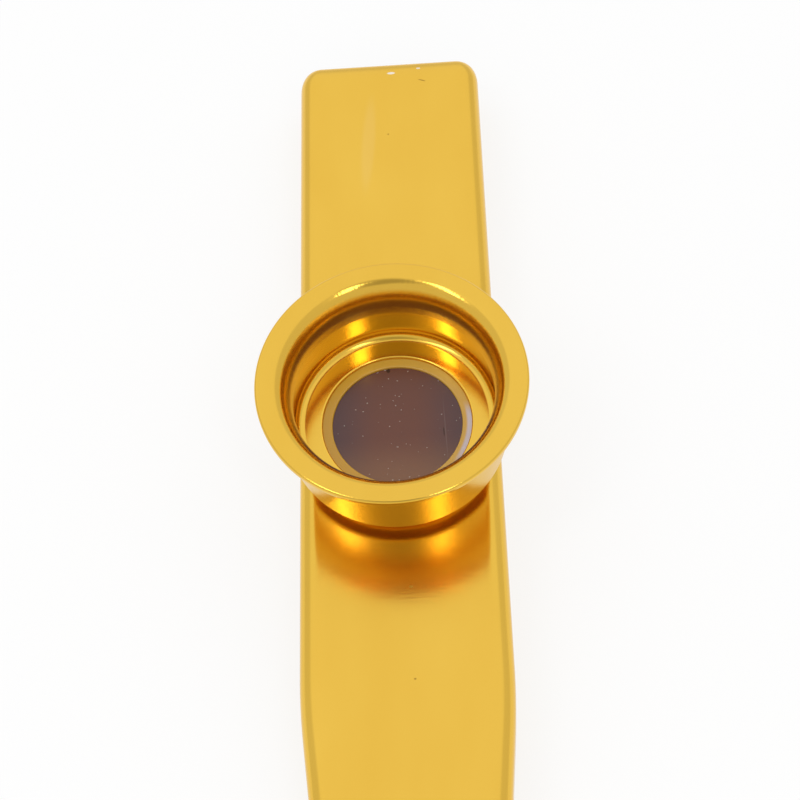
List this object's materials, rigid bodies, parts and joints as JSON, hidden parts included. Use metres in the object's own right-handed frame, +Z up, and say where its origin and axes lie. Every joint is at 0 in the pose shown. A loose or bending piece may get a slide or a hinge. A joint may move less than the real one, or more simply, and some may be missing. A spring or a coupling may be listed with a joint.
{
  "type": "kazoo",
  "caption": "Flat metal kazoo with a wide mouth end, a threaded neck and a flared bell that screws down on a membrane cartridge.",
  "frame": {"origin": "on the resting face, under the neck's axis", "axes": "+Y towards the wide mouth end, +Z up out of the bell, +X to the right seen from the outlet end"},
  "size_m": [0.028, 0.12, 0.0209],
  "materials": {
    "tube_finish": "gold anodised, satin",
    "neck_finish": "gold anodised, satin",
    "bell_finish": "gold anodised, satin, smoother in the throat",
    "plate_finish": "gold anodised, satin",
    "clear_ring": "clear moulded plastic",
    "film": "thin glossy film, dark purple brown"
  },
  "bodies": {
    "instrument": {"body_tube": "tube_finish", "neck": "neck_finish", "membrane_ring": "clear_ring", "membrane_film": "film"},
    "clamp": {"clamp_plate": "plate_finish"},
    "bell": {"bell": "bell_finish"}
  },
  "joints": [
    {"name": "bell_lift", "type": "slide", "parent": "instrument", "child": "clamp", "axis": [0, 0, 1], "range_m": [0, 0.000875]},
    {"name": "bell_turn", "type": "hinge", "parent": "clamp", "child": "bell", "pos_m": [0, 0, 0.0105], "axis": [0, 0, 1], "range_deg": [0, 450]}
  ],
  "couplings": [
    {"joint": "bell_lift", "follows": "bell_turn", "m_per_rad": 0.0001114}
  ]
}
